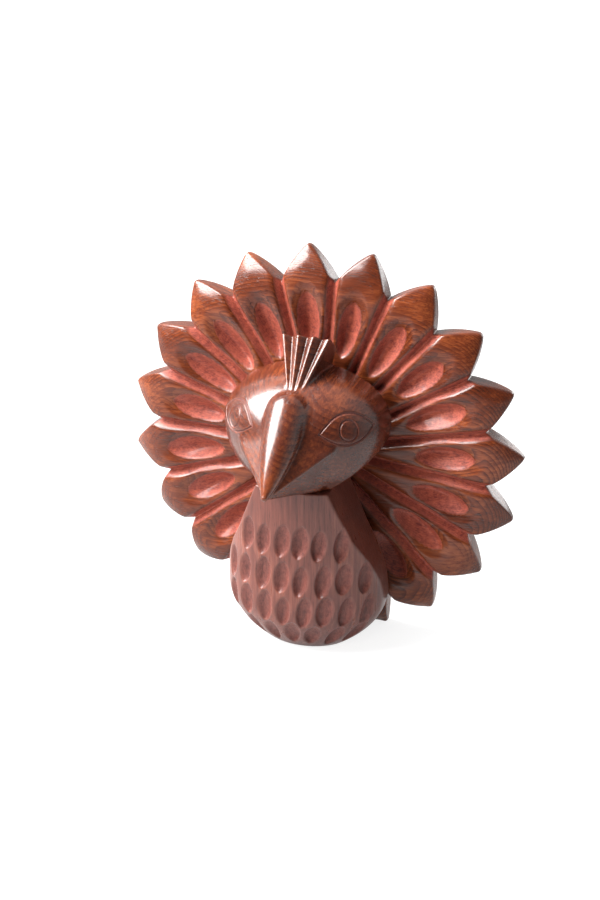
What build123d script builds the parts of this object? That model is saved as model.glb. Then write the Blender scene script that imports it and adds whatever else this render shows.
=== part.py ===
"""Carved wooden turkey that holds a pair of eyeglasses.

A round tail fan stands on its lowest feathers. In front of it stands the figure: a dimpled, pear-shaped
breast with a head on top. The beak is the nose that the glasses rest on. A spacer block keeps a slot open
between the fan and the figure, and the folded temples of the glasses pass through that slot.

Frame: millimetres, +X to the right, +Y to the back, +Z up. The origin is on the surface that the stand
rests on, under the middle of its bounding box.
"""
import os
from math import atan2, cos, degrees, radians, sin

from build123d import *

# Tail fan
FEATHERS = 19
FEATHER_STEP = 360.0 / FEATHERS
FIRST_FEATHER = -5.2            # the top feather leans this many degrees towards -X
TIP_RADIUS = 62.8
FOOT_FEATHERS = (9, 10)         # the lowest feathers run on to the surface and are sawn off flat
FOOT_TIP_RADIUS = 72.0
NOTCH_RADIUS = 52.5             # where two feathers meet
TIP_BULGE = 0.5                 # how far a feather's side bows out between notch and tip
FAN_HEIGHT = 59.2               # centre of the fan above the surface
FAN_THICKNESS = 8.0
TIP_THICKNESS = 3.0
BEVEL_START = 50.0              # radius where the feather ends begin to thin out
GROOVE_START = 15.0
GROOVE_WIDTH = 4.4
GROOVE_DEPTH = 2.6
HOLLOW_RADIUS = 40.0            # centre of a feather's hollow
HOLLOW_LENGTH = 18.0
HOLLOW_WIDTH = 7.4
HOLLOW_DEPTH = 2.6

# Figure: breast and head, cut from planks of the same thickness
SLOT_DEPTH = 5.5                # free space between the fan and the figure
NECK_HEIGHT = 56.0              # joint between breast and head
BREAST_AXIS_LEAD = 3.0          # the oval front's axis lies this far ahead of the figure's back
BREAST_HALF_WIDTH = 25.2        # half axes of the oval
BREAST_HALF_DEPTH = 19.0
BREAST_FOOT_SHARE = 0.5         # size of the oval at the foot
BREAST_WIDE_HEIGHT = 19.0
DIMPLE_LENGTH = 10.5
DIMPLE_WIDTH = 4.8
DIMPLE_DEPTH = 1.3
DIMPLE_LEAN = 8.0
DIMPLE_SPREAD = 0.75            # gaps between dimples widen by this much towards the flanks
DIMPLE_ROWS = (                 # height, middle angle, angle step and number of dimples in a row
    (39.5, 1.0, 12.5, 6),
    (27.4, 1.2, 13.6, 8),
    (16.4, 2.5, 14.0, 8),
    (7.2, -1.0, 17.5, 7),
)

HEAD_HALF_WIDTH = 24.9
HEAD_WIDE_HEIGHT = 73.0
HEAD_DOME_SETBACK = 2.0         # centre of the dome, in front of the figure's back
HEAD_DOME_DEPTH = 26.0
HEAD_DOME_HEIGHT = 16.8         # crown above the widest height
HEAD_CHIN_DROP = 24.0           # the dome reaches further down than up
EYE_OFFSET = 17.3
EYE_HEIGHT = 77.0
EYE_RADIUS = 2.9
EYE_LINE = 0.35
BEAK_TIP_HEIGHT = 62.8
BILL_ROOT_RADIUS = 6.0
BILL_TIP_RADIUS = 1.1
CREST_TOP = 100.2
CREST_WIDTH = 15.4
CREST_GROOVES = 3
CREST_GROOVE_DEPTH = 2.0

# Joinery
SPACER_WIDTH = 22.0
SPACER_BOTTOM = 14.0
SPACER_TOP = 50.0
SPACER_CORNER = 2.0
DOWEL_RADIUS = 3.0
NECK_DOWEL_LENGTH = 18.0
NECK_DOWEL_SETBACK = 9.0        # in front of the figure's back
BODY_DOWEL_LENGTH = 14.0
BODY_DOWEL_BITE = 4.5           # how far a body dowel reaches into the spacer block
DOWEL_HEIGHTS = {"upper_body_dowel": 40.0, "lower_body_dowel": 24.0}
SCREW_HEIGHTS = {"upper_fan_screw": 46.0, "lower_fan_screw": 18.5}
SCREW_SHANK_RADIUS = 1.6
SCREW_HEAD_RADIUS = 3.4
SCREW_HEAD_DEPTH = 2.4
SCREW_LENGTH = 12.6
SCREW_SLOT_WIDTH = 0.9
SCREW_SLOT_DEPTH = 1.0

# Whole object
BEAK_REACH = 58.1               # beak tip ahead of the fan's back face: the overall depth
SIDE_SHIFT = -0.39              # the leaning fan is centred by this much
BACK_Y = BEAK_REACH / 2.0


def ahead(distance):
    """Y of the upright plane this far in front of the fan's back face."""
    return BACK_Y - distance


def figure(distance):
    """Y of the upright plane this far in front of the figure's flat back."""
    return FIGURE_BACK - distance


FAN_FACE = ahead(FAN_THICKNESS)
FIGURE_BACK = ahead(FAN_THICKNESS + SLOT_DEPTH)
DOME_Y = FIGURE_BACK - HEAD_DOME_SETBACK
BREAST_AXIS_Y = FIGURE_BACK - BREAST_AXIS_LEAD


def centred(shape):
    """Move a finished piece so that the whole stand's box is centred on the origin."""
    return Pos(SIDE_SHIFT, 0, 0) * shape


def slab(outline, front_y, back_y):
    """Extrude an outline in the XZ plane from front_y to back_y."""
    face = Plane(origin=(0, back_y, 0), x_dir=(1, 0, 0), z_dir=(0, -1, 0)) * make_face(outline)
    return extrude(face, amount=back_y - front_y)


def feather_point(radius, angle):
    """Point on the fan, by radius and by angle in degrees clockwise from straight up."""
    return radius * sin(radians(angle)), FAN_HEIGHT + radius * cos(radians(angle))


def feather_angles(offset=0.0):
    """Angles of all feathers, or of the lines between them when offset is half a step."""
    return [FIRST_FEATHER + (i + offset) * FEATHER_STEP for i in range(FEATHERS)]


def tip_radius(index):
    return FOOT_TIP_RADIUS if index in FOOT_FEATHERS else TIP_RADIUS


def fan_outline():
    """Closed row of pointed feathers whose sides bow out a little."""
    curves = []
    half = FEATHER_STEP / 2
    for index, angle in enumerate(feather_angles()):
        middle_radius = (tip_radius(index) + NOTCH_RADIUS) / 2 + TIP_BULGE
        tip = feather_point(tip_radius(index), angle)
        for side in (-1, 1):
            notch = feather_point(NOTCH_RADIUS, angle + side * half)
            middle = feather_point(middle_radius, angle + side * half / 2)
            ends = (notch, tip) if side < 0 else (tip, notch)
            curves.append(ThreePointArc(ends[0], middle, ends[1]))
    return curves


def fan_blank():
    """Round plank that thins out towards the feather tips."""
    profile = Polyline(
        (0, 0),
        (FOOT_TIP_RADIUS, 0),
        (FOOT_TIP_RADIUS, TIP_THICKNESS - 0.8),
        (TIP_RADIUS + 1, TIP_THICKNESS - 0.8),
        (TIP_RADIUS - 5, TIP_THICKNESS + 2.6),
        (BEVEL_START, FAN_THICKNESS),
        (0, FAN_THICKNESS),
        close=True,
    )
    plane = Plane(origin=(0, BACK_Y, FAN_HEIGHT), x_dir=(1, 0, 0), z_dir=(0, 0, 1))
    section = plane * make_face(Rot(180, 0, 0) * profile)
    return revolve(section, Axis((0, BACK_Y, FAN_HEIGHT), (0, 1, 0)), 360)


def groove_cutter():
    """V cut along the top radius of the fan, from near the centre past the rim."""
    half = GROOVE_WIDTH / 2
    lift = 0.5
    wedge = Polyline(
        (-half * (1 + lift / GROOVE_DEPTH), FAN_FACE - lift),
        (half * (1 + lift / GROOVE_DEPTH), FAN_FACE - lift),
        (0, FAN_FACE + GROOVE_DEPTH),
        close=True,
    )
    base = Plane(origin=(0, 0, FAN_HEIGHT + GROOVE_START), z_dir=(0, 0, 1))
    return extrude(base * make_face(wedge), amount=TIP_RADIUS + 2 - GROOVE_START)


def spoon(length, width, depth):
    """Egg-shaped gouge cutter along Z that leaves a hollow of this size in the plane y = 0."""
    round_radius = ((width / 2) ** 2 + depth ** 2) / (2 * depth)
    lift = round_radius - depth
    half_length = length / 2 / (1 - (lift / round_radius) ** 2) ** 0.5
    arc = EllipticalCenterArc((0, 0), round_radius, half_length, -90, arc_size=180)
    section = Plane.XZ * make_face([arc, Line((0, half_length), (0, -half_length))])
    return Pos(0, -lift, 0) * revolve(section, Axis.Z, 360)


def about_fan(shape, angle):
    """Turn a piece about the fan's axis, clockwise seen from the front."""
    pivot = Pos(0, 0, FAN_HEIGHT)
    return pivot * (Rot(0, angle, 0) * (pivot.inverse() * shape))


def tail_fan():
    fan = slab(fan_outline(), ahead(FAN_THICKNESS + 1), BACK_Y) & fan_blank()
    groove = groove_cutter()
    hollow = Pos(0, FAN_FACE, FAN_HEIGHT + HOLLOW_RADIUS) * spoon(HOLLOW_LENGTH, HOLLOW_WIDTH, HOLLOW_DEPTH)
    for angle in feather_angles(0.5):
        fan -= about_fan(groove, angle)
    for angle in feather_angles():
        fan -= about_fan(hollow, angle)
    floor = Pos(0, 0, -25) * Box(200, 200, 50)
    fan -= floor
    for height in SCREW_HEIGHTS.values():
        fan -= screw_space(height)
    return fan


def screw_body(shank_radius, head_radius, length):
    """Countersunk screw along -Z from its flat head at z = 0."""
    profile = Polyline(
        (0, 0),
        (head_radius, 0),
        (head_radius, -0.4),
        (shank_radius, -SCREW_HEAD_DEPTH),
        (shank_radius, -length + 3),
        (0, -length),
        close=True,
    )
    return revolve(Plane.XZ * make_face(profile), Axis.Z, 360)


def screw_place(height):
    """Lay a screw along -Y with its head flush in the fan's back."""
    return Pos(0, BACK_Y - 0.2, height) * Rot(-90, 0, 0)


def screw_space(height):
    """Hole and countersink that a screw fills exactly."""
    sink = Pos(0, BACK_Y + 2, height) * Rot(90, 0, 0) * Cylinder(SCREW_HEAD_RADIUS, 4.4)
    return screw_place(height) * screw_body(SCREW_SHANK_RADIUS, SCREW_HEAD_RADIUS, SCREW_LENGTH) + sink


def fan_screw(height):
    screw = screw_body(SCREW_SHANK_RADIUS, SCREW_HEAD_RADIUS, SCREW_LENGTH)
    screw -= Box(2 * SCREW_HEAD_RADIUS + 1, SCREW_SLOT_WIDTH, 2 * SCREW_SLOT_DEPTH)
    return screw_place(height) * screw


def body_dowel(height):
    """Dowel between the spacer block and the breast."""
    middle = FIGURE_BACK + BODY_DOWEL_BITE - BODY_DOWEL_LENGTH / 2
    return Pos(0, middle, height) * Rot(90, 0, 0) * Cylinder(DOWEL_RADIUS, BODY_DOWEL_LENGTH)


def spacer_block():
    middle = Pos(0, (FAN_FACE + FIGURE_BACK) / 2, (SPACER_BOTTOM + SPACER_TOP) / 2)
    block = middle * Box(SPACER_WIDTH, SLOT_DEPTH, SPACER_TOP - SPACER_BOTTOM)
    block = fillet(block.edges().filter_by(Axis.Y), SPACER_CORNER)
    for at in SCREW_HEIGHTS.values():
        block -= screw_space(at)
    for at in DOWEL_HEIGHTS.values():
        block -= body_dowel(at)
    return block


def breast_outline():
    """Pear seen from the front: narrow at the neck, widest low down, flat foot."""
    right = [
        Line((0, 0), (14.5, 0)),
        ThreePointArc((14.5, 0), (22.6, 7.8), (25.0, 18.5)),
        ThreePointArc((25.0, 18.5), (22.9, 29.4), (17.9, 40.0)),
        Line((17.9, 40.0), (11.2, NECK_HEIGHT)),
        Line((11.2, NECK_HEIGHT), (0, NECK_HEIGHT)),
    ]
    return right + mirrored_outline(right)


def mirrored_outline(curves):
    """The same curves mirrored to the -X side, last one first, so that they go on round the outline."""
    return [mirror(curve, Plane.YZ) for curve in reversed(curves)]


def breast_round():
    """Oval column that gives the breast its rounded front and tucked-in foot."""
    wide = BREAST_HALF_DEPTH
    foot = wide * BREAST_FOOT_SHARE
    profile = [
        Line((0, 0), (foot, 0)),
        ThreePointArc((foot, 0), (wide * oval_share(7.6), 7.6), (wide, BREAST_WIDE_HEIGHT)),
        Line((wide, BREAST_WIDE_HEIGHT), (wide, NECK_HEIGHT)),
        Line((wide, NECK_HEIGHT), (0, NECK_HEIGHT)),
        Line((0, NECK_HEIGHT), (0, 0)),
    ]
    column = revolve(Plane.XZ * make_face(profile), Axis.Z, 360)
    oval = scale(column, (BREAST_HALF_WIDTH / BREAST_HALF_DEPTH, 1, 1))
    return Pos(0, BREAST_AXIS_Y, 0) * oval


def oval_share(height):
    """Size of the breast's oval at a height, as a share of its largest size."""
    below = max(0.0, 1 - height / BREAST_WIDE_HEIGHT)
    return 1 - (1 - BREAST_FOOT_SHARE) * below ** 2.3


def dimple_cutters():
    cutters = []
    for height, middle, step, count in DIMPLE_ROWS:
        share = oval_share(height)
        pitch = 0.0 if height >= BREAST_WIDE_HEIGHT else 45.0 * (1 - height / BREAST_WIDE_HEIGHT)
        for i in range(count):
            place = i - (count - 1) / 2
            angle = radians(middle + step * place + DIMPLE_SPREAD * place * abs(place))
            x = share * BREAST_HALF_WIDTH * sin(angle)
            y = BREAST_AXIS_Y - share * BREAST_HALF_DEPTH * cos(angle)
            facing = degrees(atan2(sin(angle) / BREAST_HALF_WIDTH, cos(angle) / BREAST_HALF_DEPTH))
            gouge = Rot(-pitch, DIMPLE_LEAN, 0) * spoon(DIMPLE_LENGTH, DIMPLE_WIDTH, DIMPLE_DEPTH)
            cutters.append(Pos(x, y, height) * Rot(0, 0, facing) * gouge)
    return cutters


def breast():
    body = slab(breast_outline(), ahead(BEAK_REACH), FIGURE_BACK) & breast_round()
    for dimple in dimple_cutters():
        body -= dimple
    for at in DOWEL_HEIGHTS.values():
        body -= body_dowel(at)
    return body - neck_dowel()


def neck_dowel():
    return Pos(0, figure(NECK_DOWEL_SETBACK), NECK_HEIGHT) * Cylinder(DOWEL_RADIUS, NECK_DOWEL_LENGTH)


def head_outline():
    """Head seen from the front: rounded shield on a short neck."""
    right = [
        Line((0, NECK_HEIGHT), (11.2, NECK_HEIGHT)),
        Line((11.2, NECK_HEIGHT), (20.4, 63.2)),
        ThreePointArc((20.4, 63.2), (24.4, 68.8), (24.7, 75.8)),
        ThreePointArc((24.7, 75.8), (15.5, 86.6), (0, 90.0)),
    ]
    return right + mirrored_outline(right)


def head_dome():
    """Egg-shaped front of the head: low crown above, longer cheeks below the widest height."""
    unit = Sphere(1.0)
    above = unit & (Pos(0, 0, 1) * Box(4, 4, 2))
    below = unit & (Pos(0, 0, -1) * Box(4, 4, 2))
    crown = scale(above, (HEAD_HALF_WIDTH + 0.6, HEAD_DOME_DEPTH, HEAD_DOME_HEIGHT))
    cheeks = scale(below, (HEAD_HALF_WIDTH + 0.6, HEAD_DOME_DEPTH, HEAD_CHIN_DROP))
    return Pos(0, DOME_Y, HEAD_WIDE_HEIGHT) * (crown + cheeks)


def beak():
    """Flat cheek and under-beak facets that run out to the tip, with a rounded bill laid along the top."""
    tip = (0, figure(42.8), BEAK_TIP_HEIGHT)
    chin = (0, figure(19.0), NECK_HEIGHT + 1)
    inside = (0, figure(9.0), 72.0)
    right = [(5.2, figure(26.5), 77.5), (15.0, figure(24.0), 72.6), (9.3, figure(18.5), NECK_HEIGHT + 1)]
    left = [(-x, y, z) for x, y, z in reversed(right)]
    rim = right + [chin] + left
    faces = []
    for i, corner in enumerate(rim):
        following = rim[(i + 1) % len(rim)]
        for apex in (tip, inside):
            faces.append(make_face(Polyline(corner, following, apex, close=True)))
    return Solid(Shell(faces)) + bill()


def bill():
    """Round ridge of the beak: a cone from the brow to a ball at the tip."""
    root = Vector(0, figure(22.3), 81.3)
    end = Vector(0, ahead(BEAK_REACH - BILL_TIP_RADIUS), BEAK_TIP_HEIGHT + 1)
    along = end - root
    cone = Plane(origin=root, z_dir=along) * Cone(
        BILL_ROOT_RADIUS, BILL_TIP_RADIUS, along.length, align=(Align.CENTER, Align.CENTER, Align.MIN)
    )
    return cone + Pos(*end) * Sphere(BILL_TIP_RADIUS) + Pos(*root) * Sphere(BILL_ROOT_RADIUS)


def crest():
    """Fluted comb that leans back: a wedge, narrow at the forehead and wide at its cut top."""
    side = Plane.YZ * make_face(
        Polyline(
            (figure(19.5), 84.0),
            (figure(6.5), CREST_TOP),
            (figure(2.0), CREST_TOP - 1.4),
            (FIGURE_BACK, CREST_TOP - 5.2),
            (FIGURE_BACK, 84.0),
            close=True,
        )
    )
    wedge = extrude(side, amount=CREST_WIDTH, both=True)
    half = CREST_WIDTH / 2
    front = Polyline((1.6, 83.0), (half, CREST_TOP + 1.3), (-half, CREST_TOP + 1.3), (-1.6, 83.0), close=True)
    wedge &= slab([front], ahead(BEAK_REACH), FIGURE_BACK)
    return wedge - crest_flutes()


def crest_flutes():
    """V cuts that fan out from the forehead to the cut top of the crest."""
    low = Vector(0, figure(20.0), 83.4)
    cutters = []
    for i in range(CREST_GROOVES):
        offset = (i - (CREST_GROOVES - 1) / 2) * CREST_WIDTH / (CREST_GROOVES + 0.3)
        along = (Vector(offset, figure(6.5), CREST_TOP) - low).normalized()
        across = along.cross(Vector(0, -1, 0.8)).normalized()
        base = Plane(origin=low - along * 2, x_dir=across, z_dir=along)
        inward = 1.0 if base.y_dir.Y > 0 else -1.0
        section = Polyline((-1.7, -inward), (1.7, -inward), (0, inward * CREST_GROOVE_DEPTH), close=True)
        cutters.append(extrude(base * make_face(section), amount=30))
    return cutters


def eye_cutter(side):
    """Ring engraved around the pupil, laid on the cheek."""
    depth = HEAD_DOME_DEPTH * (1 - (EYE_OFFSET / (HEAD_HALF_WIDTH + 0.6)) ** 2) ** 0.5
    turn = 46.0 * side
    at = Pos(side * EYE_OFFSET, DOME_Y - depth + 0.5, EYE_HEIGHT)
    return at * Rot(0, 0, turn) * Rot(90, 0, 0) * Torus(EYE_RADIUS, EYE_LINE)


def head():
    block = slab(head_outline(), ahead(BEAK_REACH), FIGURE_BACK) & head_dome()
    block = block + beak() + crest()
    block -= [eye_cutter(side) for side in (-1, 1)]
    return block - neck_dowel()


def pieces():
    """Every sub-part by node name."""
    parts = {
        "tail_fan": tail_fan(),
        "spacer_block": spacer_block(),
        "breast": breast(),
        "head": head(),
        "neck_dowel": neck_dowel(),
    }
    for name, height in DOWEL_HEIGHTS.items():
        parts[name] = body_dowel(height)
    for name, height in SCREW_HEIGHTS.items():
        parts[name] = fan_screw(height)
    return parts


os.makedirs("parts", exist_ok=True)
for node, shape in pieces().items():
    export_step(centred(shape), os.path.join("parts", node + ".step"))
    print(node, round(shape.volume, 1), shape.bounding_box())
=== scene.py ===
"""Looks of the carved wooden turkey that holds a pair of eyeglasses.

The three carved pieces (tail fan, breast, head) are rebuilt as fine meshes that follow the CAD solids:
the fan as a polar grid with a height for every point, the breast and the head as solid fields that are
skinned with a surface net. Spacer, dowels and screws stay the CAD nodes and only get materials.
Shapes are worked out in millimetres in the part's frame and turned into metres when a mesh is made.
"""
import math
import bmesh
import bpy
import numpy as np
from mathutils import Matrix, Vector


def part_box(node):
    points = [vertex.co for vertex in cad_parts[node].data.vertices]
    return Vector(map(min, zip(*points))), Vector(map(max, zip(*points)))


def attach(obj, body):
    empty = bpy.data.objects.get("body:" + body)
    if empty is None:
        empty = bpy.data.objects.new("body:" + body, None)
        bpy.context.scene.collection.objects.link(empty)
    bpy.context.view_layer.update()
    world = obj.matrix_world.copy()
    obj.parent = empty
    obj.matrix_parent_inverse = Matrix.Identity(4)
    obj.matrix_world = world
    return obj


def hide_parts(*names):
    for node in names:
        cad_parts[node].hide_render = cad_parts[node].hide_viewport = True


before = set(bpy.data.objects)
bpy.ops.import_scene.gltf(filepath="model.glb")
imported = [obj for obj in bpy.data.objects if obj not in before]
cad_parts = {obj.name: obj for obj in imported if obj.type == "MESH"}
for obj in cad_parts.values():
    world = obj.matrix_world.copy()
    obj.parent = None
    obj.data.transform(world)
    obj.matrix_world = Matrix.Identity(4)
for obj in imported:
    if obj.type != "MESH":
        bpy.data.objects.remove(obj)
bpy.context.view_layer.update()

MM = 0.001


def box_mm(node):
    """Lowest and highest corner of a CAD node in millimetres."""
    low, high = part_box(node)
    return np.array(low) / MM, np.array(high) / MM


fan_low, fan_high = box_mm("tail_fan")
breast_low, breast_high = box_mm("breast")
head_low, head_high = box_mm("head")

MIDDLE_X = (head_low[0] + head_high[0]) / 2     # upright plane through beak, breast and fan centre
FAN_BACK = fan_high[1]
FAN_FACE = fan_low[1]
FAN_THICKNESS = FAN_BACK - FAN_FACE
FIGURE_BACK = breast_high[1]
NECK_HEIGHT = breast_high[2]
BEAK_TIP_Y = head_low[1]
CREST_TOP = head_high[2]


# ---------------------------------------------------------------- small maths

def smoothstep(low, high, value):
    t = np.clip((value - low) / (high - low), 0.0, 1.0)
    return t * t * (3.0 - 2.0 * t)


def smooth_max(a, b, radius):
    """Larger of two fields, with the edge between them rounded over."""
    h = np.maximum(radius - np.abs(a - b), 0.0) / radius
    return np.maximum(a, b) + h * h * radius * 0.25


def smooth_min(a, b, radius):
    return -smooth_max(-a, -b, radius)


# ---------------------------------------------------------------- mesh helpers

def make_object(name, points_mm, faces, raw):
    """Smooth mesh object from points in millimetres; raw marks bare gouged wood from 0 to 1."""
    mesh = bpy.data.meshes.new(name)
    mesh.from_pydata((points_mm * MM).tolist(), [], faces)
    mesh.update()
    attribute = mesh.attributes.new("raw", "FLOAT", "POINT")
    attribute.data.foreach_set("value", np.asarray(raw, dtype=np.float32))
    mesh.shade_smooth()
    obj = bpy.data.objects.new(name, mesh)
    bpy.context.collection.objects.link(obj)
    return obj


NET_MARGIN = 3              # grid steps by which a surface net reaches past the corners it is given


def crossed_edges(values, axis):
    """Grid edges along an axis that the surface cuts, the cut points, and which way the surface faces."""
    size = np.array(values.shape)
    near = np.take(values, range(size[axis] - 1), axis)
    far = np.take(values, range(1, size[axis]), axis)
    where = np.argwhere((near < 0) != (far < 0))
    others = [a for a in range(3) if a != axis]
    inner = (where[:, others] > 0) & (where[:, others] < size[others] - 1)
    where = where[np.all(inner, axis=1)]
    start = near[tuple(where.T)]
    end = far[tuple(where.T)]
    point = where.astype(float)
    point[:, axis] += start / (start - end)
    return where, point, (start < 0) != (axis == 1)


def cells_around(where, axis):
    """The four cells that meet at each grid edge, in order round it."""
    first, second = [a for a in range(3) if a != axis]
    cells = []
    for u, v in ((0, 0), (1, 0), (1, 1), (0, 1)):
        cell = where.copy()
        cell[:, first] -= u
        cell[:, second] -= v
        cells.append(cell)
    return cells


def surface_net(field, low, high, step):
    """Points and quads of the surface where field(points) is zero, between two corners."""
    before, after = NET_MARGIN * step, (NET_MARGIN + 1) * step
    axes = [np.arange(a - before, b + after, step) for a, b in zip(low, high)]
    shape = tuple(len(a) for a in axes)
    grid = np.stack(np.meshgrid(*axes, indexing="ij"), -1).reshape(-1, 3)
    values = field(grid).reshape(shape)
    cells = tuple(n - 1 for n in shape)
    total = np.zeros(cells + (3,))
    count = np.zeros(cells)
    crossings = []
    for axis in range(3):
        where, point, forward = crossed_edges(values, axis)
        around = cells_around(where, axis)
        for cell in around:
            np.add.at(total, tuple(cell.T), point)
            np.add.at(count, tuple(cell.T), 1)
        crossings.append((around, forward))
    used = count > 0
    number = np.full(cells, -1)
    number[used] = np.arange(used.sum())
    points = total[used] / count[used][:, None] * step + np.array([a[0] for a in axes])
    faces = []
    for around, forward in crossings:
        quad = np.stack([number[tuple(cell.T)] for cell in around], -1)
        quad[~forward] = quad[~forward][:, ::-1]
        faces.append(quad)
    return points, np.concatenate(faces)


def field_slope(field, points, reach=0.02):
    """Gradient of the field at points, from its values a short reach to either side."""
    slope = np.zeros_like(points)
    for axis in range(3):
        shift = np.zeros(3)
        shift[axis] = reach
        slope[:, axis] = (field(points + shift) - field(points - shift)) / (2 * reach)
    return slope


def settle(field, points, step, rounds=3):
    """Pull points onto the surface of the field, never further than half a step at a time."""
    for _ in range(rounds):
        slope = field_slope(field, points)
        size = np.maximum((slope ** 2).sum(1), 0.05)
        move = -(field(points) / size)[:, None] * slope
        length = np.linalg.norm(move, axis=1, keepdims=True)
        points = points + move * np.minimum(1.0, 0.5 * step / np.maximum(length, 1e-9))
    return points


def relax(points, faces):
    """Even out the spacing of a quad mesh's points."""
    edges = np.concatenate([faces[:, [i, (i + 1) % 4]] for i in range(4)])
    total = np.zeros_like(points)
    count = np.zeros(len(points))
    for a, b in ((0, 1), (1, 0)):
        np.add.at(total, edges[:, a], points[edges[:, b]])
        np.add.at(count, edges[:, a], 1)
    return points + 0.5 * (total / count[:, None] - points)


def sculpt(name, field, low, high, step, raw):
    """Skin a solid field with an even quad mesh."""
    points, faces = surface_net(field, low, high, step)
    for _ in range(2):
        points = relax(points, faces)
        points = settle(field, points, step, 2)
    return make_object(name, points, faces.tolist(), raw(points))


# ---------------------------------------------------------------- tail fan

FEATHERS = 19
FEATHER_STEP = 2 * math.pi / FEATHERS
FIRST_FEATHER = math.radians(-5.2)
FAN_HEIGHT = 59.2
TIP_RADIUS = 62.8
TIP_ROUNDING = 0.08
NOTCH_RADIUS = 52.5
TIP_BULGE = 0.3
FOOT_FEATHERS = (9, 10)
FOOT_TIP_RADIUS = 72.0
BLUNT_FEATHERS = (12, 13)   # two feathers low on the -X side are shorter and rounder
BLUNT_TIP_RADIUS = 60.4
BLUNT_TIP_ROUNDING = 0.35
GROOVE_HALF_WIDTH = 2.0
GROOVE_DEPTH = 2.6
GROOVE_TAPER = 0.14         # near the hub a groove's half width is this share of the radius
SHOULDER_DEPTH = 0.3        # soft shoulder beside each groove
SHOULDER_WIDTH = 1.6
BEVEL_RADIUS = 48.5         # from here outward the face falls away towards the tips
BEVEL_WIDTH = 13.5
BEVEL_DROP = 4.6
TIP_EDGE_DROP = 1.3         # extra fall along the edges of a tip
TIP_EDGE_WIDTH = 3.4
TIP_EDGE_SLANT = 0.62       # distance square to the slanting edge per distance along the radius
HOLLOW_RADIUS = 40.0
HOLLOW_HALF_LENGTH = 9.2
HOLLOW_HALF_WIDTH = 3.7
HOLLOW_DEPTH = 3.3
HOLLOW_KEEL = 0.25          # the deepest line of a hollow lies this share of its half width to the left
DISH_DEPTH = 1.1
DISH_HALF_WIDTH = 6.0       # soft dish around a hollow, also a little longer and further out than it
DISH_EXTRA_LENGTH = 2.8
DISH_SHIFT = 1.5

FAN_COLUMNS = 38            # grid columns across one feather, closer together near the grooves
FAN_CROWDING = 0.35
FAN_ROWS = 102              # grid rows from the hub to the rim
FAN_BACK_ROWS = 14
HUB_RADIUS = 2.0
EDGE_INSET = 0.35           # rounding of the rim, front and back
FRONT_ROUNDING = ((0.12, 0.12), (0.38, 0.0))            # depth below the face, inset from the rim
BACK_ROUNDING = ((0.35, 0.0), (0.1, 0.1), (0.0, EDGE_INSET))    # height above the back, inset
NO_FLOOR = 1e3


def drawn_angle(angle):
    """Where a feather really points: they crowd a little towards the top, as drawn by hand."""
    return angle + math.radians(0.3) - math.radians(1.9) * np.sin(angle)


def rim_radius(angle):
    """Radius of the fan's outline at an angle, clockwise from straight up."""
    place = (angle - FIRST_FEATHER) / FEATHER_STEP
    index = np.round(place).astype(int) % FEATHERS
    across = 2 * np.abs(place - np.round(place))
    foot = np.isin(index, FOOT_FEATHERS)
    blunt = np.isin(index, BLUNT_FEATHERS)
    tip = np.where(foot, FOOT_TIP_RADIUS, np.where(blunt, BLUNT_TIP_RADIUS, TIP_RADIUS))
    rounding = np.where(blunt, BLUNT_TIP_ROUNDING, TIP_ROUNDING)
    t = (np.hypot(across, rounding) - rounding * (1 - across)) / np.hypot(1, rounding)
    radius = NOTCH_RADIUS + (tip - NOTCH_RADIUS) * (1 - t) + 4 * TIP_BULGE * t * (1 - t)
    down = -np.cos(drawn_angle(angle))
    floor = np.where(down > 0.5, FAN_HEIGHT / np.maximum(down, 0.5), NO_FLOOR)
    return np.minimum(radius, floor)


def feather_hollow(index, across, radius):
    """Depth of the gouged hollow, and of the soft dish around it; no two feathers are quite the same."""
    across = across + 0.35 * np.sin(1.9 * index)
    middle = HOLLOW_RADIUS + 0.7 * np.sin(2.3 * index + 1)
    along = (radius - middle) / (HOLLOW_HALF_LENGTH * (1 + 0.05 * np.sin(3.7 * index)))
    fullness = np.clip(1 - along ** 2, 0, 1) ** 0.5 * (1 + 0.12 * along)
    half_width = HOLLOW_HALF_WIDTH * (1 + 0.06 * np.sin(5.1 * index)) * np.maximum(fullness, 1e-3)
    side = across / half_width + HOLLOW_KEEL
    wall = np.where(side < 0, -side / (1 - HOLLOW_KEEL), side / (1 + HOLLOW_KEEL))
    trough = np.clip(1 - wall ** 1.35, 0, 1)
    length = np.clip((along + 1) / 2, 0, 1)
    run = np.sin(math.pi * length ** 0.72) ** 0.75
    deep = HOLLOW_DEPTH * trough * run * (np.abs(along) < 1)
    dish_along = (radius - middle - DISH_SHIFT) / (HOLLOW_HALF_LENGTH + DISH_EXTRA_LENGTH)
    dish = np.clip(1 - dish_along ** 2 - (across / DISH_HALF_WIDTH) ** 2, 0, 1)
    return deep, DISH_DEPTH * smoothstep(0, 0.8, dish)


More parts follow.
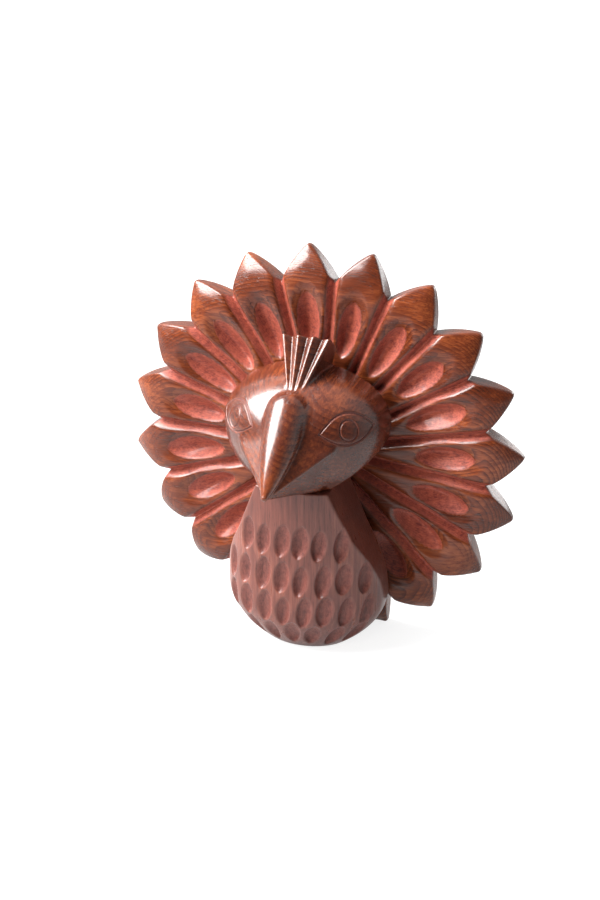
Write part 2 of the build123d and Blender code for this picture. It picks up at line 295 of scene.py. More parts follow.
def fan_height(angle, radius):
    """Height of the carved face above the fan's back, and how raw the wood is there."""
    place = (angle - FIRST_FEATHER) / FEATHER_STEP
    local = (place - np.round(place)) * FEATHER_STEP
    across = radius * np.sin(local)
    to_groove = radius * np.sin(FEATHER_STEP / 2 - np.abs(local))
    half_width = np.minimum(GROOVE_HALF_WIDTH, radius * GROOVE_TAPER)
    groove_depth = GROOVE_DEPTH * half_width / GROOVE_HALF_WIDTH
    cut = np.clip(1 - to_groove / half_width, 0, 1)
    height = FAN_THICKNESS - groove_depth * cut
    height -= SHOULDER_DEPTH * np.clip(1 - (to_groove - half_width) / SHOULDER_WIDTH, 0, 1) ** 2
    rim = rim_radius(angle)
    bevel = np.clip((radius - BEVEL_RADIUS) / BEVEL_WIDTH, 0, 1.0)
    height -= BEVEL_DROP * bevel ** 2
    edge = np.clip(1 - (rim - radius) * TIP_EDGE_SLANT / TIP_EDGE_WIDTH, 0, 1)
    tipness = 1 - 2 * np.abs(place - np.round(place))
    height -= TIP_EDGE_DROP * edge ** 2 * tipness
    deep, dish = feather_hollow(np.round(place) % FEATHERS, across, radius)
    height -= deep + dish
    raw = np.maximum(smoothstep(0.12, 0.3, cut), smoothstep(0.05, 0.25, deep))
    return height, raw


def ring_faces(first, second, count):
    """Quads between two closed rings of points that start at these indices."""
    here = np.arange(count)
    after = (here + 1) % count
    return np.stack([first + here, second + here, second + after, first + after], -1)


def fan_angles():
    """Angles of the grid columns, closer together near the grooves."""
    step = np.arange(FEATHERS * FAN_COLUMNS) / FAN_COLUMNS
    crowding = FAN_CROWDING * np.sin(2 * math.pi * step) / (2 * math.pi)
    return FIRST_FEATHER + (step + crowding) * FEATHER_STEP


def tail_fan():
    """Carved face, rim and flat back as closed rings of points, from the hub out and back to the hub."""
    angle = fan_angles()
    columns = len(angle)
    rim = rim_radius(angle)
    drawn = drawn_angle(angle)
    rings = []
    raws = []

    def ring(radius, height, raw):
        x = MIDDLE_X + radius * np.sin(drawn)
        z = FAN_HEIGHT + radius * np.cos(drawn)
        y = FAN_BACK - height * np.ones(columns)
        rings.append(np.stack([x, y, z], -1))
        raws.append(raw * np.ones(columns))

    for row in np.linspace(0, 1, FAN_ROWS):
        radius = HUB_RADIUS + (rim - EDGE_INSET - HUB_RADIUS) * row
        ring(radius, *fan_height(angle, radius))
    top, raw = fan_height(angle, rim)
    for drop, inset in FRONT_ROUNDING:
        ring(rim - inset, top - drop, raw * 0.3)
    for share in (0.75, 0.5, 0.25):
        ring(rim, 0.4 + (top - 0.8) * share, 0.0)
    for height, inset in BACK_ROUNDING:
        ring(rim - inset, height, 0.0)
    for row in np.linspace(1, 0, FAN_BACK_ROWS)[1:]:
        ring(HUB_RADIUS + (rim - EDGE_INSET - HUB_RADIUS) * row, 0.0, 0.0)
    faces = [ring_faces(i * columns, (i + 1) * columns, columns) for i in range(len(rings) - 1)]
    faces = np.concatenate(faces).tolist()
    last = (len(rings) - 1) * columns
    faces.append(list(range(columns)))
    faces.append([last + i for i in reversed(range(columns))])
    return make_object("tail_fan_carved", np.concatenate(rings), faces, np.concatenate(raws))


# ---------------------------------------------------------------- breast

BREAST_AXIS_Y = FIGURE_BACK - 3.0
BREAST_HALF_WIDTH = 25.2    # oval seen from above
BREAST_HALF_DEPTH = 19.0
BREAST_FOOT_SHARE = 0.5
BREAST_WIDE_HEIGHT = 19.0
BELLY_HEIGHT = 18.5         # sawn outline seen from the front: widest here
BELLY_HALF_WIDTH = 25.0
BELLY_TUCK = 10.5           # narrower by this much at the foot
FOOT_CURVE = 2.3            # power of the curve in to the foot
SHOULDER_HEIGHTS = (18.5, 24.0, 29.2, 34.5, 40.0, 56.0)
SHOULDER_HALF_WIDTHS = (25.0, 24.3, 22.9, 20.8, 17.9, 11.2)
DIMPLE_SPREAD = 0.75
DIMPLE_ROWS = (                 # height, middle angle, angle step and number of dimples in a row
    (39.5, 1.0, 12.5, 6),
    (27.4, 1.2, 13.6, 8),
    (16.4, 2.5, 14.0, 8),
    (7.2, -1.0, 17.5, 7),
)
DIMPLE_HALF_LENGTH = 5.5
DIMPLE_HALF_WIDTH = 2.6
DIMPLE_DEPTH = 1.6
DIMPLE_LEAN = math.radians(9.0)
LOW_ROW_HEIGHT = 10.0       # dimples below this are shorter
LOW_ROW_SQUASH = 1.2
DIMPLE_REACH = (14.0, 7.0)  # degrees and millimetres around a dimple where it can be felt


def oval_share(height):
    """Size of the breast's oval at a height, as a share of its largest size."""
    below = np.clip(1 - height / BREAST_WIDE_HEIGHT, 0, 1)
    return 1 - (1 - BREAST_FOOT_SHARE) * below ** FOOT_CURVE


def breast_half_width(height):
    """Half width of the pear seen from the front."""
    low = BELLY_HALF_WIDTH - BELLY_TUCK * np.clip(1 - height / BELLY_HEIGHT, 0, 1) ** FOOT_CURVE
    high = np.interp(height, SHOULDER_HEIGHTS, SHOULDER_HALF_WIDTHS)
    return np.where(height < BELLY_HEIGHT, low, high)


def dimples():
    """Angle, height, length and width factors of every gouge cut, each a little different."""
    for height, middle, step, count in DIMPLE_ROWS:
        for i in range(count):
            place = i - (count - 1) / 2
            turn = middle + step * place + DIMPLE_SPREAD * place * abs(place)
            wobble = math.sin(i * 2.4 + height)
            drift = math.cos(i * 1.7 + height)
            yield turn + 0.6 * wobble, height + 0.5 * drift, 1 + 0.05 * wobble, 1 + 0.07 * drift


def dimple_depth(turn, height):
    """Depth of the gouge cuts at an angle round the breast and a height."""
    depth = np.zeros_like(turn)
    for middle, level, long, wide in dimples():
        beside = np.abs(turn - middle) < DIMPLE_REACH[0]
        near = np.flatnonzero(beside & (np.abs(height - level) < DIMPLE_REACH[1]))
        angle = math.radians(middle)
        share = float(oval_share(level))
        run = share * math.hypot(BREAST_HALF_WIDTH * math.cos(angle), BREAST_HALF_DEPTH * math.sin(angle))
        side = np.radians(turn[near] - middle) * run
        up = (height[near] - level) * (LOW_ROW_SQUASH if level < LOW_ROW_HEIGHT else 1.0)
        along = up * math.cos(DIMPLE_LEAN) + side * math.sin(DIMPLE_LEAN)
        across = side * math.cos(DIMPLE_LEAN) - up * math.sin(DIMPLE_LEAN)
        v = np.clip(along / (DIMPLE_HALF_LENGTH * long), -1, 1)
        width = DIMPLE_HALF_WIDTH * wide * np.maximum(1 - np.abs(v) ** 2.2, 1e-3) ** 0.62
        bowl = np.clip(1 - np.abs(across / width) ** 2.1, 0, 1)
        fall = (1 - v * v) ** 0.6 * (1 - 0.38 * v)
        depth[near] = np.maximum(depth[near], DIMPLE_DEPTH * bowl * fall)
    return depth


def breast_coordinates(p):
    """Angle round the oval in degrees, size against the oval, millimetres per unit of that size."""
    x = p[:, 0] - MIDDLE_X
    forward = BREAST_AXIS_Y - p[:, 1]
    turn = np.degrees(np.arctan2(x / BREAST_HALF_WIDTH, forward / BREAST_HALF_DEPTH))
    size = np.hypot(x / BREAST_HALF_WIDTH, forward / BREAST_HALF_DEPTH)
    slope = np.hypot(x / BREAST_HALF_WIDTH ** 2, forward / BREAST_HALF_DEPTH ** 2)
    return turn, size, size / np.maximum(slope, 1e-6)


def breast_front(p):
    """Distance in front of the undimpled breast, and the depth of the dimples there."""
    turn, size, scale = breast_coordinates(p)
    front = (size - oval_share(p[:, 2])) * scale
    depth = np.zeros_like(front)
    near = np.abs(front) < 3.0
    depth[near] = dimple_depth(turn[near], p[near, 2])
    return front, depth


def breast_field(p):
    """Dimpled front, sawn flanks, flat back, flat foot and flat neck."""
    front, depth = breast_front(p)
    height = p[:, 2]
    flank = np.abs(p[:, 0] - MIDDLE_X) - breast_half_width(height)
    body = smooth_max(front + depth, flank * 0.92, 0.45)
    body = smooth_max(body, p[:, 1] - FIGURE_BACK, 0.5)
    body = smooth_max(body, -height, 0.5)
    return np.maximum(body, height - NECK_HEIGHT)


def breast_raw(p):
    """The gouge cuts of the breast are left bare."""
    front, depth = breast_front(p)
    return smoothstep(0.08, 0.5, depth) * (np.abs(front + depth) < 0.3)


# ---------------------------------------------------------------- head

HEAD_WIDE_HEIGHT = 73.0
HEAD_HALF_WIDTH = 24.9
DOME_Y = FIGURE_BACK - 2.0
DOME_SIZE = (25.5, 26.0, 16.8)
CHIN_DROP = 24.0
OUTLINE_RISE = 16.9         # sawn outline of the head, above and below its widest height
OUTLINE_FALL = 20.0
OUTLINE_SCALE = 16.0        # about the mean radius: turns a share of the outline into millimetres
NECK_TAPER = ((11.2, 0, 56), (20.4, 0, 63.2), (20.4, 9, 63.2))     # slanted cut from cheek to neck


def plane_through(a, b, c, inside):
    """Unit normal and offset of the plane through three points, positive away from inside."""
    a, b, c = np.array(a), np.array(b), np.array(c)
    normal = np.cross(b - a, c - a)
    normal = normal / np.linalg.norm(normal)
    if normal @ (np.array(inside) - a) > 0:
        normal = -normal
    return normal, normal @ a


def half_space(plane, p):
    return p @ plane[0] - plane[1]


def ahead(distance):
    """Y of the upright plane this far in front of the figure's back."""
    return FIGURE_BACK - distance


def skull_field(q):
    """Egg-shaped dome on the figure's back plane, cut to the head's outline."""
    x, y, z = q[:, 0], q[:, 1] - DOME_Y, q[:, 2] - HEAD_WIDE_HEIGHT
    size_x, size_y, rise = DOME_SIZE
    size_z = np.where(z > 0, rise, CHIN_DROP)
    share = np.sqrt((x / size_x) ** 2 + (y / size_y) ** 2 + (z / size_z) ** 2)
    slope = np.sqrt((x / size_x ** 2) ** 2 + (y / size_y ** 2) ** 2 + (z / size_z ** 2) ** 2)
    dome = share * (share - 1) / np.maximum(slope, 1e-6)
    reach = np.where(z > 0, OUTLINE_RISE, OUTLINE_FALL)
    outline = (np.sqrt((x / HEAD_HALF_WIDTH) ** 2 + (z / reach) ** 2) - 1) * OUTLINE_SCALE
    taper = half_space(plane_through(*NECK_TAPER, (0, 0, 70)), q)
    outline = smooth_max(outline, taper, 2.0)
    return smooth_max(dome, outline, 0.5)


def beak_field(q):
    """Flat cheek and under-beak facets that run out to the tip, with a rounded bill laid along the top."""
    tip = (0.0, BEAK_TIP_Y + 0.8, 62.8)
    brow = (5.2, ahead(26.5), 77.5)
    cheek = (15.0, ahead(24.0), 72.6)
    jaw = (9.3, ahead(20.0), 57.0)
    inside = (0.0, ahead(10.0), 70.0)
    upper = plane_through((0.8, ahead(42.5), 63.2), brow, cheek, inside)
    lower = plane_through(tip, cheek, jaw, inside)
    under = plane_through(tip, jaw, (-9.3, ahead(20.0), 57.0), inside)
    roof = plane_through(brow, cheek, (0.0, ahead(14.0), 84.0), inside)
    rear = plane_through(cheek, jaw, (0.0, ahead(9.0), 72.0), tip)
    solid = smooth_max(half_space(upper, q), half_space(lower, q), 0.5)
    solid = smooth_max(solid, half_space(under, q), 0.5)
    solid = smooth_max(solid, half_space(roof, q), 2.0)
    solid = smooth_max(solid, half_space(rear, q), 1.0)
    return smooth_min(solid, bill_field(q), 0.35)


BILL_TIP_RADIUS = 1.0
BILL_SWELL = 5.0            # thicker by this much at the root
BILL_CURVE = 2.2            # power of the taper along the bill


def bill_field(q):
    """Round ridge of the beak, from the brow down to the tip."""
    root = np.array((0.0, ahead(22.3), 81.3))
    end = np.array((0.0, BEAK_TIP_Y + 1.0, 63.6))
    line = end - root
    t = np.clip((q - root) @ line / (line @ line), 0, 1)
    offset = q - root - t[:, None] * line
    return np.linalg.norm(offset, axis=1) - (BILL_TIP_RADIUS + BILL_SWELL * (1 - t ** BILL_CURVE))


CREST_LEAN = math.atan2(13.0, 16.2)
CREST_FOOT = (ahead(19.5), 84.0)        # Y and Z of the foot of its front plane
CREST_LENGTH = 20.8
CREST_TOP_HALF = 7.7
CREST_FOOT_HALF = 1.5
CREST_GROOVES = (-0.6, 0.02, 0.62)      # places across the crest, from -1 to 1
CREST_GROOVE_WIDTH = 0.3                # half width of a groove in the same measure
CREST_GROOVE_DEPTH = 1.9
CREST_BOW = 0.9                         # the front curves back by this much at its sides
CREST_REAR_DROP = 5.2                   # the sloping rear cut meets the back plane this far below the top
CREST_REAR_SLOPE = 0.8


def crest_coordinates(q):
    """Across, along and out from the crest's leaning front plane."""
    foot_y, foot_z = CREST_FOOT
    along = (q[:, 1] - foot_y) * math.sin(CREST_LEAN) + (q[:, 2] - foot_z) * math.cos(CREST_LEAN)
    out = -(q[:, 1] - foot_y) * math.cos(CREST_LEAN) + (q[:, 2] - foot_z) * math.sin(CREST_LEAN)
    return q[:, 0], along, out


def crest_field(q):
    """Leaning comb, narrow at the forehead, with grooves that fan out to its cut top."""
    across, along, out = crest_coordinates(q)
    share = np.clip(along / CREST_LENGTH, 0, 1.1)
    half = CREST_FOOT_HALF + (CREST_TOP_HALF - CREST_FOOT_HALF) * share
    place = across / half
    groove = np.zeros_like(place)
    for middle in CREST_GROOVES:
        near = np.clip(1 - np.abs(place - middle) / CREST_GROOVE_WIDTH, 0, 1)
        groove = np.maximum(groove, near ** 1.25)
    groove *= CREST_GROOVE_DEPTH * (0.25 + 0.75 * share)
    front = (out + groove + CREST_BOW * place ** 2) * 0.75
    side = (np.abs(across) - half) * 0.93
    body = smooth_max(front, side, 0.35)
    body = smooth_max(body, along - CREST_LENGTH, 0.5)
    body = smooth_max(body, -1.0 - along, 0.5)
    rear = q[:, 2] - (CREST_TOP - CREST_REAR_DROP) - CREST_REAR_SLOPE * (FIGURE_BACK - q[:, 1])
    return smooth_max(body, rear * 0.7, 0.8)


def head_field(p):
    """Skull, beak and crest in one block, flat at the back and where it stands on the breast."""
    q = p - np.array((MIDDLE_X, 0.0, 0.0))
    mirrored = q.copy()
    mirrored[:, 0] = np.abs(q[:, 0])
    solid = smooth_min(skull_field(mirrored), beak_field(mirrored), 1.6)
    solid = smooth_min(solid, crest_field(q), 0.7)
    solid = smooth_max(solid, q[:, 1] - FIGURE_BACK, 0.5)
    return np.maximum(solid, NECK_HEIGHT - q[:, 2])


def head_raw(p):
    """The head is polished all over; only its eye lines are bare, and they are cut later."""
    return np.zeros(len(p))


# ---------------------------------------------------------------- eyes

EYE_PLACE = 17.5            # across the head from its middle
EYE_HEIGHT = 77.0
EYE_TURN = math.radians(44.0)
PUPIL_RADIUS = 2.9
EYE_HALF_LENGTH = 9.0
EYE_HALF_OPENING = 4.6
EYE_LINE_HALF_WIDTH = 0.36
EYE_LINE_DEPTH = 0.45
EYE_LEAD = 19.5             # the eye's middle lies this far ahead of the figure's back
EYE_REACH = 1.1             # faces closer to a line than this are split finely


def eye_distance(points, side):
    """Distance in millimetres from the engraved almond and the ring inside it, on one cheek."""
    x = (points[:, 0] - MIDDLE_X) * side - EYE_PLACE
    back = points[:, 1] - ahead(EYE_LEAD)
    u = x * math.cos(EYE_TURN) + back * math.sin(EYE_TURN)
    v = points[:, 2] - EYE_HEIGHT
    ring = np.abs(np.hypot(u, v) - PUPIL_RADIUS)
    share = np.clip(u / EYE_HALF_LENGTH, -1, 1)
    lid = EYE_HALF_OPENING * (1 - share ** 2)
    almond = np.minimum(np.abs(v - lid), np.abs(v + 0.85 * lid))
    almond = np.hypot(almond * 0.85, np.maximum(np.abs(u) - EYE_HALF_LENGTH, 0))
    far = ((points[:, 0] - MIDDLE_X) * side < 5.0) | (points[:, 1] > ahead(5.0))
    return np.minimum(ring, almond) + 100.0 * far


def mesh_points(mesh, kind="co"):
    """Vertex places, or another vertex vector such as the normals, as an array."""
    values = np.zeros(len(mesh.vertices) * 3, dtype=np.float32)
    mesh.vertices.foreach_get(kind, values)
    return values.reshape(-1, 3).astype(float)


def engrave_eyes(obj):
    """Split the faces near the eye lines finely, then press the lines in along the normals."""
    work = bmesh.new()
    work.from_mesh(obj.data)
    points = mesh_points(obj.data) / MM
    near = np.minimum(eye_distance(points, 1), eye_distance(points, -1)) < EYE_REACH
    edges = [edge for edge in work.edges if near[edge.verts[0].index] and near[edge.verts[1].index]]
    bmesh.ops.subdivide_edges(work, edges=edges, cuts=2, use_grid_fill=True)
    work.to_mesh(obj.data)
    work.free()
    obj.data.update()
    obj.data.shade_smooth()
    points = mesh_points(obj.data) / MM
    normals = mesh_points(obj.data, "normal")
    distance = np.minimum(eye_distance(points, 1), eye_distance(points, -1))
    depth = EYE_LINE_DEPTH * np.clip(1 - distance / EYE_LINE_HALF_WIDTH, 0, 1) ** 0.8
    points -= normals * depth[:, None]
    obj.data.vertices.foreach_set("co", (points * MM).astype(np.float32).ravel())
    obj.data.update()
    raw = obj.data.attributes["raw"]
    raw.data.foreach_set("value", (smoothstep(0.02, 0.2, depth) * 0.6).astype(np.float32))


# ---------------------------------------------------------------- worn edges and painted shade in hollows

CURVE_SMOOTHING = 2         # rounds of averaging with the neighbours
CURVE_LIMIT = 4.0


def mark_curvature(obj):
    """Store how convex (+) or hollow (-) the surface is at each point, in 1/mm, as the attribute 'curve'."""
    mesh = obj.data
    points = mesh_points(mesh) / MM
    normals = mesh_points(mesh, "normal")
    pairs = np.zeros(len(mesh.edges) * 2, dtype=np.int32)
    mesh.edges.foreach_get("vertices", pairs)
    a, b = pairs.reshape(-1, 2).T
    step = points[b] - points[a]
    length = np.maximum((step ** 2).sum(1), 1e-4)
    bend = np.zeros(len(points))
    count = np.zeros(len(points))
    np.add.at(bend, a, -(step * normals[a]).sum(1) / length)
    np.add.at(bend, b, (step * normals[b]).sum(1) / length)
    np.add.at(count, a, 1)
    np.add.at(count, b, 1)
    bend = 2 * bend / np.maximum(count, 1)
    for _ in range(CURVE_SMOOTHING):
        total = np.zeros(len(points))
        np.add.at(total, a, bend[b])
        np.add.at(total, b, bend[a])
        bend = 0.5 * bend + 0.5 * total / np.maximum(count, 1)
    attribute = mesh.attributes.new("curve", "FLOAT", "POINT")
    attribute.data.foreach_set("value", np.clip(bend, -CURVE_LIMIT, CURVE_LIMIT).astype(np.float32))


# ---------------------------------------------------------------- shader helpers

def node(tree, kind, inputs=None, **settings):
    """Add a shader node, set its properties and its unlinked or linked inputs."""
    made = tree.nodes.new(kind)
    for key, value in settings.items():
        setattr(made, key, value)
    for key, value in (inputs or {}).items():
        if isinstance(value, bpy.types.NodeSocket):
            tree.links.new(value, made.inputs[key])
        else:
            made.inputs[key].default_value = value
    return made


def ramp(tree, factor, stops):
    """Colour ramp with (place, colour) stops."""
    made = node(tree, "ShaderNodeValToRGB", {0: factor})
    elements = made.color_ramp.elements
    while len(elements) < len(stops):
        elements.new(0.5)
    for element, (place, color) in zip(elements, stops):
        element.position = place
        element.color = (*color, 1.0)
    return made.outputs["Color"]


def compute(tree, operation, a, b=0.0, clamp=False):
    return node(tree, "ShaderNodeMath", {0: a, 1: b}, operation=operation, use_clamp=clamp).outputs[0]


def weigh(tree, *terms):
    """Sum of (value, weight) pairs."""
    total = 0.0
    for value, weight in terms:
        total = compute(tree, "ADD", total, compute(tree, "MULTIPLY", value, weight))
    return total


def remap(tree, value, low, high, to_low=0.0, to_high=1.0):
    inputs = {0: value, 1: low, 2: high, 3: to_low, 4: to_high}
    return node(tree, "ShaderNodeMapRange", inputs).outputs[0]


def mix_color(tree, blend, factor, a, b):
    made = node(tree, "ShaderNodeMix", data_type="RGBA", blend_type=blend)
    for socket, value in ((made.inputs[0], factor), (made.inputs[6], a), (made.inputs[7], b)):
        if isinstance(value, bpy.types.NodeSocket):
            tree.links.new(value, socket)
        else:
            socket.default_value = value if isinstance(value, float) else (*value, 1.0)
    return made.outputs[2]


def noise(tree, vector, detail=3.0, roughness=0.55):
    inputs = {"Vector": vector, "Scale": 1.0, "Detail": detail, "Roughness": roughness}
    return node(tree, "ShaderNodeTexNoise", inputs).outputs["Fac"]


def scaled_place(tree, scale, shift=(0.0, 0.0, 0.0)):
    """Place in the piece, in metres, times a scale for each axis."""
    coordinates = node(tree, "ShaderNodeTexCoord").outputs["Object"]
    inputs = {"Vector": coordinates, "Location": shift, "Scale": scale}
    return node(tree, "ShaderNodeMapping", inputs).outputs["Vector"]


def along_fibre(fibre, long, wide):
    """Texture scale that is long along the fibre axis and fine across it."""
    return tuple(long if axis == fibre else wide for axis in "XYZ")


# ---------------------------------------------------------------- wood material

def growth_lines(tree, fibre, gaps, wander):
    """Sawtooth from 0 to 1 across each growth layer; gaps are the layer spacings in mm along X, Y, Z."""
    scale = tuple(0.0 if axis == fibre else 1000.0 / gap for axis, gap in zip("XYZ", gaps))
    split = node(tree, "ShaderNodeSeparateXYZ", {0: scaled_place(tree, scale)})
    slow = noise(tree, scaled_place(tree, along_fibre(fibre, 16.0, 42.0)), 2.0)
    fast = noise(tree, scaled_place(tree, along_fibre(fibre, 60.0, 160.0), (2, 4, 6)), 2.0)
    across = [split.outputs[i] for i, axis in enumerate("XYZ") if axis != fibre]
    level = weigh(tree, (across[0], 1.0), (across[1], 1.0), (slow, wander), (fast, wander * 0.22))
    layer = compute(tree, "FRACT", level)
    late = compute(tree, "POWER", layer, 2.6)
    return compute(tree, "MULTIPLY", late, remap(tree, layer, 0.93, 1.0, 1.0, 0.0))


def new_material(name):
    material = bpy.data.materials.new(name)
    material.use_nodes = True
    material.node_tree.nodes.clear()
    return material


def worn_edges_and_painted_shade(tree, color, light, streak):
    """Edges worn light and hollows darkened as painted shade, from the attribute 'curve'."""
    curve = node(tree, "ShaderNodeAttribute", attribute_name="curve").outputs["Fac"]
    worn = remap(tree, curve, 0.25, 1.5, 0.0, 0.45)
    color = mix_color(tree, "MIX", compute(tree, "MULTIPLY", worn, streak), color, light)
    # painted shade: concave places are multiplied darker, standing in for the shade that falls in hollows
    painted_shade = remap(tree, curve, -0.25, -1.6, 0.0, 0.55)
    return mix_color(tree, "MULTIPLY", painted_shade, color, (0.35, 0.24, 0.22))


def wood(name, fibre, gaps, tones, raw_tones, roughness, line_strength=0.4, wander=6.0, gloss=0.4):
    """Solid wood: growth layers, fibres and pores run right through it; 'raw' is bare gouged wood."""
    material = new_material(name)
    tree = material.node_tree

    def grain(long, wide, shift=(0.0, 0.0, 0.0), detail=3.0, rough=0.6):
        return noise(tree, scaled_place(tree, along_fibre(fibre, long, wide), shift), detail, rough)

    patchy = grain(30.0, 90.0, (6, 2, 8), 2.0, 0.55)
    layers = growth_lines(tree, fibre, gaps, wander)
    lines = compute(tree, "MULTIPLY", layers, remap(tree, patchy, 0.40, 0.58))
    streak = grain(45.0, 1100.0, detail=4.0)
    fine = grain(160.0, 3200.0, (5, 1, 3))
    cloud = grain(22.0, 62.0, (3, 5, 7), rough=0.55)
    pore = remap(tree, grain(260.0, 4200.0, (1, 2, 3), 2.0, 0.5), 0.60, 0.70)
    tone = weigh(tree, (lines, line_strength), (streak, 0.8), (fine, 0.4), (cloud, 0.9))
    tone = compute(tree, "SUBTRACT", tone, 0.68)
    dark, middle, light = tones
    color = ramp(tree, tone, ((0.05, light), (0.42, middle), (0.9, dark)))
    color = mix_color(tree, "MULTIPLY", compute(tree, "MULTIPLY", pore, 0.7), color, (0.25, 0.18, 0.16))
    # edges worn lighter, hollows darkened by painted shade
    color = worn_edges_and_painted_shade(tree, color, light, streak)

    raw = node(tree, "ShaderNodeAttribute", attribute_name="raw").outputs["Fac"]
    torn = grain(1000.0, 2600.0, rough=0.7)
    ripple = noise(tree, scaled_place(tree, (700.0, 260.0, 700.0), (9, 9, 9)), 2.0, 0.5)
    raw_tone = weigh(tree, (torn, 0.9), (ripple, 0.5), (streak, 0.4), (lines, 0.12))
    raw_tone = compute(tree, "SUBTRACT", raw_tone, 0.38)
    raw_color = ramp(tree, raw_tone, ((0.25, raw_tones[1]), (0.75, raw_tones[0])))
    color = mix_color(tree, "MIX", compute(tree, "MULTIPLY", raw, 0.88), color, raw_color)

    sanded = weigh(tree, (streak, 0.16), (cloud, 0.10))
    rough = compute(tree, "ADD", sanded, roughness - 0.13)
    rough = compute(tree, "ADD", rough, compute(tree, "MULTIPLY", raw, 0.3))
    grit = compute(tree, "MULTIPLY", weigh(tree, (torn, 1.5), (ripple, 1.2)), raw)
    relief = weigh(tree, (streak, 0.3), (fine, 0.25), (pore, -0.6), (lines, -0.2), (grit, 1.0))
    bump = node(tree, "ShaderNodeBump", {"Height": relief, "Strength": 0.3, "Distance": 0.00022})
    inputs = {
        "Base Color": color,
        "Roughness": rough,
        "Normal": bump.outputs[0],
        "Coat Weight": 0.15,
        "Coat Roughness": 0.12,
        "Specular IOR Level": gloss,
    }
    shader = node(tree, "ShaderNodeBsdfPrincipled", inputs)
    node(tree, "ShaderNodeOutputMaterial", {"Surface": shader.outputs[0]})
    return material


def brass(name):
    """Plain screw brass: turned rings, small scratches and dull patches."""
    material = new_material(name)
    tree = material.node_tree
    patches = noise(tree, scaled_place(tree, (400.0, 400.0, 400.0)), 4.0, 0.6)
    scratches = noise(tree, scaled_place(tree, (300.0, 300.0, 6000.0), (1, 2, 3)), 2.0, 0.5)
    color = ramp(tree, patches, ((0.3, (0.62, 0.42, 0.16)), (0.7, (0.36, 0.22, 0.08))))
    rough = weigh(tree, (patches, 0.3), (scratches, 0.25))
    bump = node(tree, "ShaderNodeBump", {"Height": scratches, "Strength": 0.25, "Distance": 0.0001})
    inputs = {"Base Color": color, "Metallic": 1.0, "Roughness": rough, "Normal": bump.outputs[0]}
    shader = node(tree, "ShaderNodeBsdfPrincipled", inputs)
    node(tree, "ShaderNodeOutputMaterial", {"Surface": shader.outputs[0]})
    return material


# ---------------------------------------------------------------- build

HOLE_LENGTH = 4 * MM
HOLE_SHIFT = 1.2 * MM       # the cutter's middle lies this far behind the screw head
FLAT_BACK = 0.99            # faces that look back more squarely than this are shaded flat


def hole_cutter(name, low, high):
    """Cylinder along Y that removes the wood over a screw head."""
    radius = (high[2] - low[2]) / 2
    middle = ((low[0] + high[0]) / 2, high[1] + HOLE_SHIFT, (low[2] + high[2]) / 2)
    work = bmesh.new()
    sizes = {"radius1": radius, "radius2": radius, "depth": HOLE_LENGTH}
    bmesh.ops.create_cone(work, cap_ends=True, segments=48, **sizes)
    bmesh.ops.rotate(work, verts=work.verts, matrix=Matrix.Rotation(math.pi / 2, 3, "X"))
    bmesh.ops.translate(work, verts=work.verts, vec=middle)
    mesh = bpy.data.meshes.new(name)
    work.to_mesh(mesh)
    work.free()
    cutter = bpy.data.objects.new(name, mesh)
    bpy.context.collection.objects.link(cutter)
    return cutter


def cut_screw_holes(obj):
    """Sink the countersunk screw heads into the fan's back."""
    for name in ("upper_fan_screw", "lower_fan_screw"):
        cutter = hole_cutter(name + "_hole", *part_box(name))
        modifier = obj.modifiers.new("hole", "BOOLEAN")
        modifier.operation = "DIFFERENCE"
        modifier.solver = "EXACT"
        modifier.object = cutter
        bpy.context.view_layer.objects.active = obj
        bpy.ops.object.modifier_apply(modifier=modifier.name)
        bpy.data.objects.remove(cutter)
    for face in obj.data.polygons:
        if face.normal.y > FLAT_BACK:
            face.use_smooth = False


def paint(obj, material):
    obj.data.materials.clear()
    obj.data.materials.append(material)


FINE = 0.36      # grid step of the breast and the head, in millimetres
fan = tail_fan()
cut_screw_holes(fan)
breast = sculpt("breast_carved", breast_field, breast_low, breast_high, FINE, breast_raw)
head = sculpt("head_carved", head_field, head_low, head_high, FINE, head_raw)
engrave_eyes(head)
for obj in (fan, breast, head):
    mark_curvature(obj)

RAW_PINK = ((0.13, 0.023, 0.019), (0.46, 0.105, 0.062))
RAW_BROWN = ((0.070, 0.019, 0.015), (0.21, 0.062, 0.046))
fan_wood = wood(
    "fan_wood", "X", (1.0, 0.55, 2.4),
    ((0.018, 0.004, 0.002), (0.092, 0.018, 0.006), (0.235, 0.058, 0.017)), RAW_PINK, 0.25, 0.42, 3.5, 0.36,
)
breast_wood = wood(
    "breast_wood", "Z", (2.8, 2.0, 1.0),
    ((0.040, 0.011, 0.008), (0.115, 0.033, 0.023), (0.21, 0.068, 0.044)), RAW_BROWN, 0.30, 0.25, 4.0, 0.45,
)
head_wood = wood(
    "head_wood", "Y", (3.0, 1.0, 1.7),
    ((0.014, 0.004, 0.003), (0.070, 0.015, 0.007), (0.19, 0.046, 0.016)), RAW_BROWN, 0.22, 0.3, 4.0, 0.5,
)
spacer_wood = wood(
    "spacer_wood", "Z", (2.8, 2.8, 1.0),
    ((0.05, 0.014, 0.009), (0.14, 0.042, 0.026), (0.23, 0.075, 0.045)), RAW_BROWN, 0.5,
)
dowel_wood = wood(
    "dowel_wood", "Z", (1.8, 1.8, 1.0),
    ((0.36, 0.22, 0.11), (0.55, 0.38, 0.21), (0.68, 0.50, 0.31)), RAW_BROWN, 0.5,
)
screw_brass = brass("screw_brass")

for obj, material, cad_node, finish in (
    (fan, fan_wood, "tail_fan", "fan_wood"),
    (breast, breast_wood, "breast", "breast_wood"),
    (head, head_wood, "head", "head_wood"),
):
    paint(obj, material)
    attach(obj, "root")
    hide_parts(cad_node)

paint(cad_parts["spacer_block"], spacer_wood)
for name in ("neck_dowel", "upper_body_dowel", "lower_body_dowel"):
    paint(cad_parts[name], dowel_wood)
for name in ("upper_fan_screw", "lower_fan_screw"):
    paint(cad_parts[name], screw_brass)


# ---------------------------------------------------------------- stage

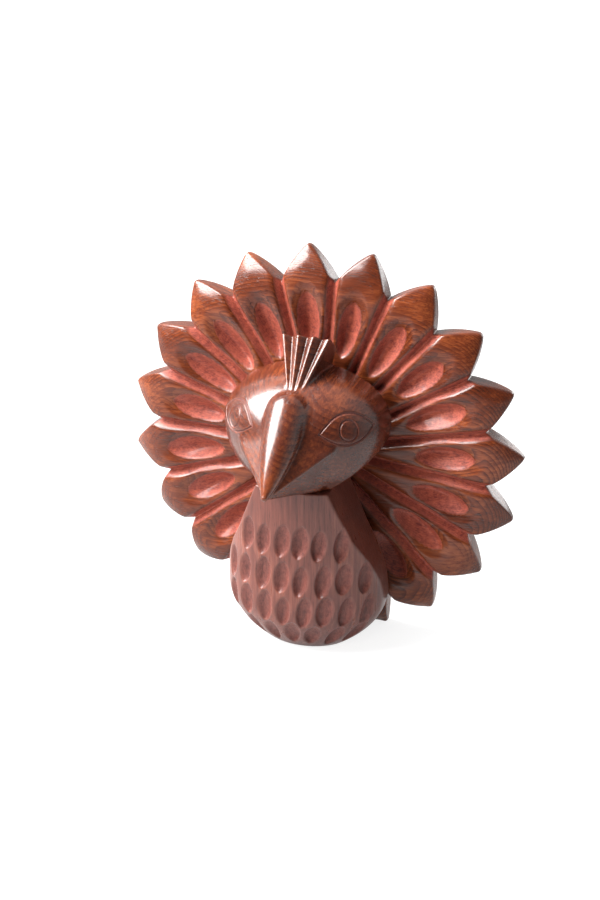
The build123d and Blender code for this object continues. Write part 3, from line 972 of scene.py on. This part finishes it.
def area_light(name, place, target, size, power):
    """Soft box; size gives its sides, the first level and the second upright."""
    data = bpy.data.lights.new(name, "AREA")
    data.shape = "RECTANGLE"
    data.size, data.size_y = size
    data.energy = power
    obj = bpy.data.objects.new(name, data)
    obj.location = place
    direction = Vector(target) - obj.location
    obj.rotation_euler = direction.to_track_quat("-Z", "Y").to_euler()
    bpy.context.collection.objects.link(obj)
    return obj


def camera(azimuth, elevation, distance, target, lens):
    """Camera at angles round and above the target; 0 looks along +Y."""
    a, e = math.radians(azimuth), math.radians(elevation)
    back = np.array((math.sin(a) * math.cos(e), -math.cos(a) * math.cos(e), math.sin(e)))
    data = bpy.data.cameras.new("camera")
    data.sensor_width = 36.0
    data.lens = lens
    data.clip_start = 0.01
    obj = bpy.data.objects.new("camera", data)
    obj.location = np.array(target) + back * distance
    obj.rotation_euler = (math.pi / 2 - e, 0, a)
    bpy.context.collection.objects.link(obj)
    bpy.context.scene.camera = obj


def studio_world(front, back):
    """White room behind the stand, dimmer in front of it, so that polished faces keep their colour."""
    world = bpy.data.worlds.new("world")
    world.use_nodes = True
    tree = world.node_tree
    tree.nodes.clear()
    direction = node(tree, "ShaderNodeTexCoord").outputs["Generated"]
    split = node(tree, "ShaderNodeSeparateXYZ", {0: direction})
    strength = remap(tree, split.outputs[1], -0.35, 0.3, front, back)
    seen = node(tree, "ShaderNodeLightPath").outputs["Is Camera Ray"]
    strength = compute(tree, "MAXIMUM", strength, seen)
    light = node(tree, "ShaderNodeBackground", {"Color": (1, 1, 1, 1), "Strength": strength})
    node(tree, "ShaderNodeOutputWorld", {"Surface": light.outputs[0]})
    bpy.context.scene.world = world


def table_top():
    """White table that glows close to the stand as painted light with no lamp behind it: the glow lights the
    pieces from below and its mirror image in the polish is brightest close to the stand; the camera sees the
    table evenly white.
    """
    mesh = bpy.data.meshes.new("floor")
    half = 3.0
    corners = [(-half, -half, 0), (half, -half, 0), (half, half, 0), (-half, half, 0)]
    mesh.from_pydata(corners, [], [(0, 1, 2, 3)])
    obj = bpy.data.objects.new("floor", mesh)
    bpy.context.collection.objects.link(obj)
    material = new_material("floor")
    tree = material.node_tree
    place = node(tree, "ShaderNodeTexCoord").outputs["Object"]
    distance = node(tree, "ShaderNodeVectorMath", {0: place}, operation="LENGTH").outputs["Value"]
    # painted light: for all but camera rays the table glows, strongest close to the stand
    mirrored = remap(tree, distance, 0.12, 0.32, 0.4, 0.03)
    seen = node(tree, "ShaderNodeLightPath").outputs["Is Camera Ray"]
    glow = compute(tree, "MAXIMUM", mirrored, compute(tree, "MULTIPLY", seen, 0.83))
    inputs = {
        "Base Color": (0.24, 0.24, 0.24, 1.0),
        "Roughness": 0.9,
        "Specular IOR Level": 0.0,
        "Emission Color": (1.0, 1.0, 1.0, 1.0),
        "Emission Strength": glow,
    }
    shader = node(tree, "ShaderNodeBsdfPrincipled", inputs)
    node(tree, "ShaderNodeOutputMaterial", {"Surface": shader.outputs[0]})
    mesh.materials.append(material)


camera(azimuth=18.5, elevation=23.35, distance=0.600, target=(-0.00033, 0.00375, 0.0655), lens=80.88)
table_top()
studio_world(front=0.09, back=0.9)
area_light("key", (-0.57, -0.15, 0.73), (0, 0, 0.06), (0.85, 0.62), 48.0)
fill = area_light("fill", (-0.45, -0.95, 0.35), (0, 0, 0.06), (0.5, 0.5), 10.0)
fill.visible_glossy = False
area_light("rim", (0.62, 1.05, 0.24), (0, 0, 0.08), (0.8, 0.45), 6.0)
bpy.context.scene.view_settings.view_transform = "Standard"
